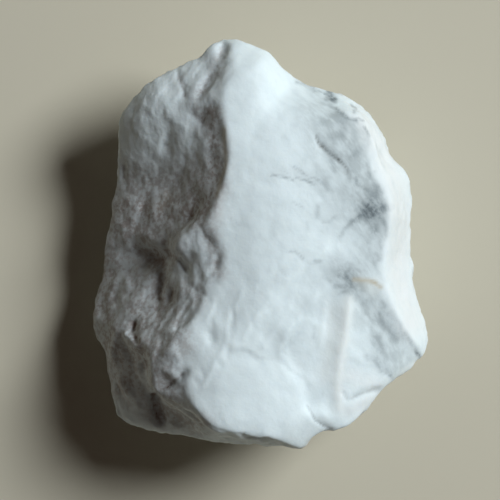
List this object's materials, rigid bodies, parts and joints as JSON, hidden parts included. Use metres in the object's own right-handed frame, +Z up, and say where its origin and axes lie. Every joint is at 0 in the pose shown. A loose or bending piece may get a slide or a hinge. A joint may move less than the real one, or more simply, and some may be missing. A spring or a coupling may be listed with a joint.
{
  "type": "raw magnesite stone",
  "caption": "Raw white magnesite chunk with a broad broken face, a steep hackly side and a small flat spot to rest on.",
  "frame": {"origin": "centre of the stone's bounding box, at the height of the flat spot that it rests on", "axes": "+X across the broad face towards the bright rim, +Y along the stone's length towards the cleft, +Z up out of the broad face"},
  "size_m": [0.0316, 0.038, 0.018],
  "materials": {
    "white_magnesite": "matt broken white stone with faint grey stains"
  },
  "bodies": {
    "root": {"magnesite_stone": "white_magnesite"}
  },
  "joints": []
}
